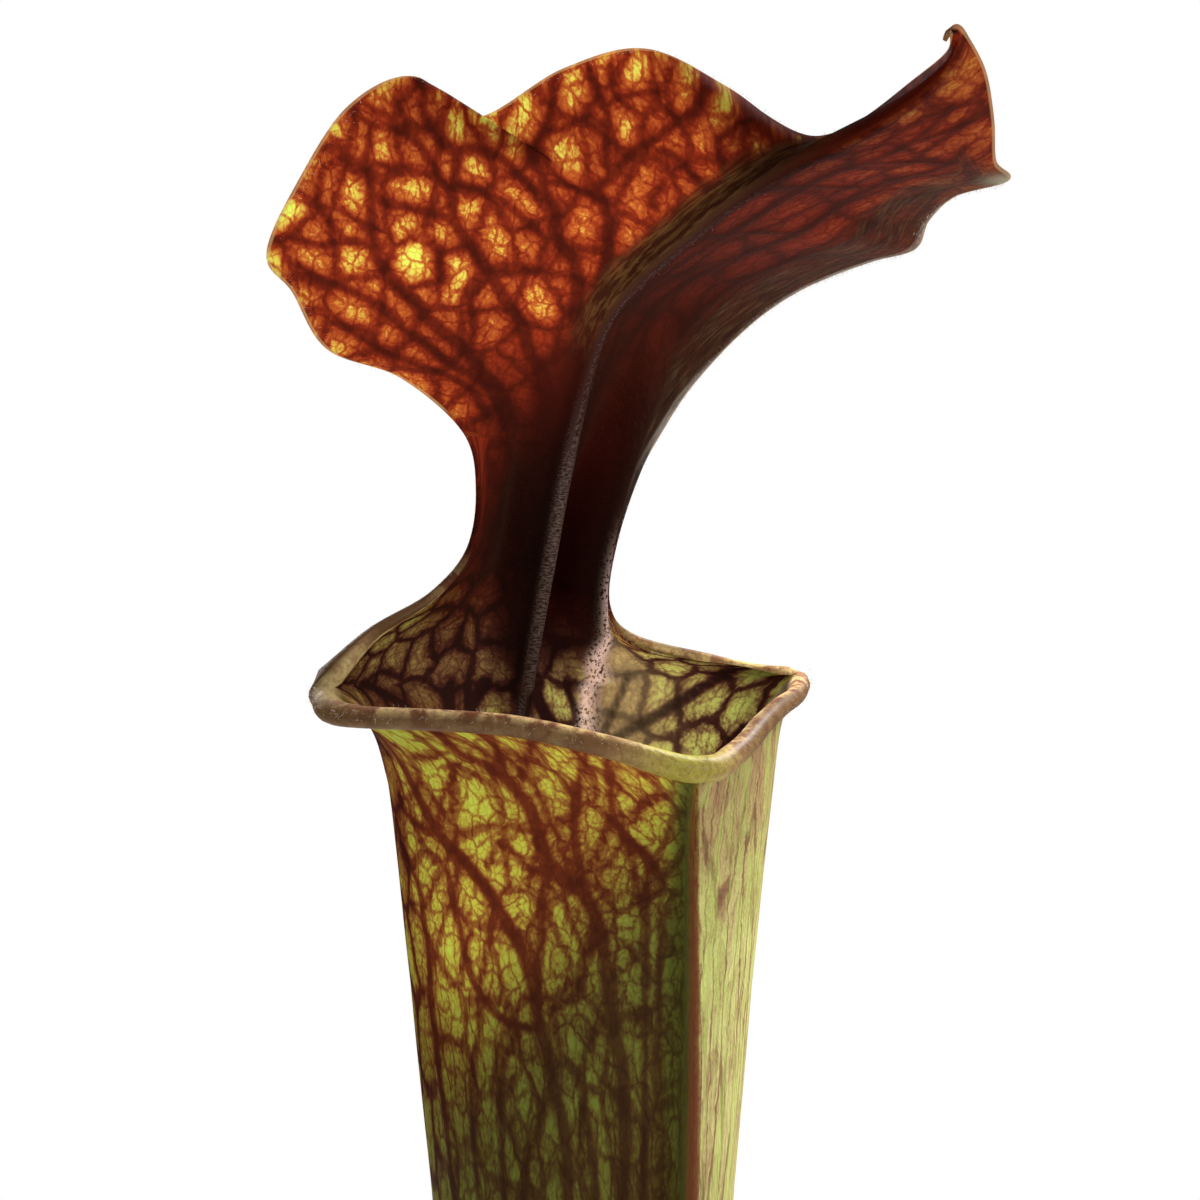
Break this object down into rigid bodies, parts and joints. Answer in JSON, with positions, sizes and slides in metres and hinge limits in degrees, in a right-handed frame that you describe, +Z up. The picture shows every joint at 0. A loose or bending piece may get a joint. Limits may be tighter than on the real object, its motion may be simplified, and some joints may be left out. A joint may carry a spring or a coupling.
{
  "type": "potted pitcher plant",
  "caption": "Potted trumpet pitcher plant: a tall hollow leaf that widens to a rolled mouth under a waved lid, standing on its crown in growing mix in a plain round pot.",
  "frame": {"origin": "centre of the pot's underside, on the surface that the pot stands on", "axes": "+Z up, along the pot's axis and the leaf; +X to the viewer's right, where the lid reaches furthest; +Y away from the viewer, towards the column that carries the lid; the mouth faces -Y and a little +X"},
  "size_m": [0.12, 0.12, 0.4607],
  "materials": {
    "leaf": "satin",
    "crown": "matte",
    "growing_mix": "matte",
    "pot": "matte"
  },
  "bodies": {
    "root": {"pitcher": "leaf", "rhizome": "crown", "soil": "growing_mix", "pot": "pot"}
  },
  "joints": []
}
